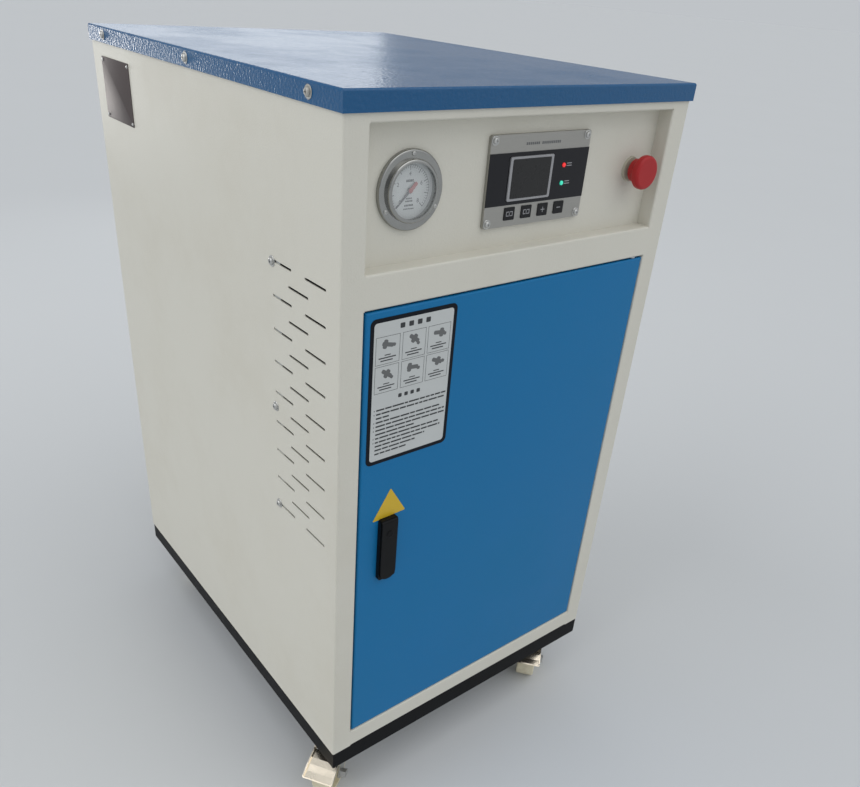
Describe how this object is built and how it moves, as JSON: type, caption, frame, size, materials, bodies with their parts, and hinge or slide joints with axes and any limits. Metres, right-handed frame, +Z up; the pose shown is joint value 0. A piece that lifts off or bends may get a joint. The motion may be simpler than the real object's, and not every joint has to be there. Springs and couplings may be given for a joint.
{
  "type": "electric steam boiler cabinet",
  "caption": "Cabinet electric steam boiler on swivel casters, with a hinged front door, recessed controls, pressure gauge, stop button, slotted sides and rear pipe fittings.",
  "frame": {"origin": "on the floor, under the middle of the whole outline", "axes": "+X right as seen from the front, +Y to the back, +Z up; the door faces -Y"},
  "size_m": [0.547, 0.7282, 0.9775],
  "materials": {
    "white_paint": "textured powder coat",
    "blue_paint": "textured powder coat",
    "black_paint": "satin",
    "zinc_plate": "zinc plated",
    "inner_zinc": "galvanised",
    "drum_steel": "dull stainless",
    "pump_paint": "satin",
    "switch_dark": "matt",
    "switch_grey": "matt",
    "gauge_steel": "polished",
    "dial_white": "printed",
    "clear_glass": "clear",
    "pointer_black": "satin",
    "plate_alu": "brushed",
    "strip_black": "gloss",
    "screen_grey": "gloss",
    "key_black": "satin",
    "lamp_lens": "gloss",
    "collar_grey": "satin",
    "stop_red": "satin",
    "brass_fitting": "cast",
    "black_nylon": "matt",
    "wheel_nylon": "moulded"
  },
  "bodies": {
    "cabinet": {"base_frame": "black_paint", "floor_pan": "inner_zinc", "left_side_panel": "white_paint", "right_side_panel": "white_paint", "left_front_post": "white_paint", "right_front_post": "white_paint", "top_rail": "white_paint", "middle_rail": "white_paint", "bottom_rail": "white_paint", "control_tray": "white_paint", "back_panel": "white_paint", "top_cover": "blue_paint", "mounting_plate": "inner_zinc", "contactors": "switch_dark", "main_breaker": "switch_grey", "boiler_drum": "drum_steel", "feed_pump": "pump_paint", "gauge_case": "gauge_steel", "gauge_dial": "dial_white", "gauge_glass": "clear_glass", "controller_plate": "plate_alu", "controller_strip": "strip_black", "controller_screen": "screen_grey", "keypad": "key_black", "indicator_lamps": "lamp_lens", "estop_collar": "collar_grey", "steam_outlet": "brass_fitting", "safety_valve": "brass_fitting", "water_inlet": "brass_fitting", "drain_valve": "brass_fitting", "cable_gland": "black_nylon", "door_hinge_pins": "zinc_plate", "caster_plates": "zinc_plate"},
    "door": {"door_panel": "blue_paint", "door_lock_body": "black_nylon"},
    "lock_lever": {"door_lock_lever": "black_nylon"},
    "pointer": {"gauge_pointer": "pointer_black"},
    "stop_head": {"estop_head": "stop_red"},
    "fork_front_left": {"caster_fork_front_left": "zinc_plate"},
    "wheel_front_left": {"caster_wheel_front_left": "wheel_nylon"},
    "fork_front_right": {"caster_fork_front_right": "zinc_plate"},
    "wheel_front_right": {"caster_wheel_front_right": "wheel_nylon"},
    "fork_rear_left": {"caster_fork_rear_left": "zinc_plate"},
    "wheel_rear_left": {"caster_wheel_rear_left": "wheel_nylon"},
    "fork_rear_right": {"caster_fork_rear_right": "zinc_plate"},
    "wheel_rear_right": {"caster_wheel_rear_right": "wheel_nylon"},
    "pedal_left": {"brake_pedal_left": "zinc_plate"},
    "pedal_right": {"brake_pedal_right": "zinc_plate"}
  },
  "joints": [
    {"name": "door_hinge", "type": "hinge", "parent": "cabinet", "child": "door", "pos_m": [0.205, -0.34985, 0.147], "axis": [0, 0, 1], "range_deg": [0, 110]},
    {"name": "lever_lift", "type": "hinge", "parent": "door", "child": "lock_lever", "pos_m": [-0.1785, -0.36065, 0.4963], "axis": [-1, 0, 0], "range_deg": [0, 40]},
    {"name": "pointer_turn", "type": "hinge", "parent": "cabinet", "child": "pointer", "pos_m": [-0.1585, -0.33585, 0.8805], "axis": [0, 1, 0], "range_deg": [0, 270], "stiffness_Nm_per_rad": 0.0002},
    {"name": "stop_push", "type": "slide", "parent": "cabinet", "child": "stop_head", "axis": [0, 1, 0], "range_m": [0, 0.004]},
    {"name": "swivel_front_left", "type": "hinge", "parent": "cabinet", "child": "fork_front_left", "pos_m": [-0.206, -0.29885, 0.088], "axis": [0, 0, 1], "continuous": true},
    {"name": "roll_front_left", "type": "hinge", "parent": "fork_front_left", "child": "wheel_front_left", "pos_m": [-0.22921, -0.31451, 0.032], "axis": [0.5592, -0.829, 0], "continuous": true},
    {"name": "swivel_front_right", "type": "hinge", "parent": "cabinet", "child": "fork_front_right", "pos_m": [0.206, -0.29885, 0.088], "axis": [0, 0, 1], "continuous": true},
    {"name": "roll_front_right", "type": "hinge", "parent": "fork_front_right", "child": "wheel_front_right", "pos_m": [0.18424, -0.31647, 0.032], "axis": [0.6293, -0.7771, 0], "continuous": true},
    {"name": "swivel_rear_left", "type": "hinge", "parent": "cabinet", "child": "fork_rear_left", "pos_m": [-0.206, 0.23715, 0.088], "axis": [0, 0, 1], "continuous": true},
    {"name": "roll_rear_left", "type": "hinge", "parent": "fork_rear_left", "child": "wheel_rear_left", "pos_m": [-0.17895, 0.2444, 0.032], "axis": [-0.2588, 0.9659, 0], "continuous": true},
    {"name": "swivel_rear_right", "type": "hinge", "parent": "cabinet", "child": "fork_rear_right", "pos_m": [0.206, 0.23715, 0.088], "axis": [0, 0, 1], "continuous": true},
    {"name": "roll_rear_right", "type": "hinge", "parent": "fork_rear_right", "child": "wheel_rear_right", "pos_m": [0.23305, 0.2299, 0.032], "axis": [0.2588, 0.9659, 0], "continuous": true},
    {"name": "pedal_left", "type": "hinge", "parent": "fork_front_left", "child": "pedal_left", "pos_m": [-0.21429, -0.30444, 0.065], "axis": [0.5592, -0.829, 0], "range_deg": [0, 8]},
    {"name": "pedal_right", "type": "hinge", "parent": "fork_front_right", "child": "pedal_right", "pos_m": [0.19823, -0.30514, 0.065], "axis": [0.6293, -0.7771, 0], "range_deg": [0, 8]}
  ]
}
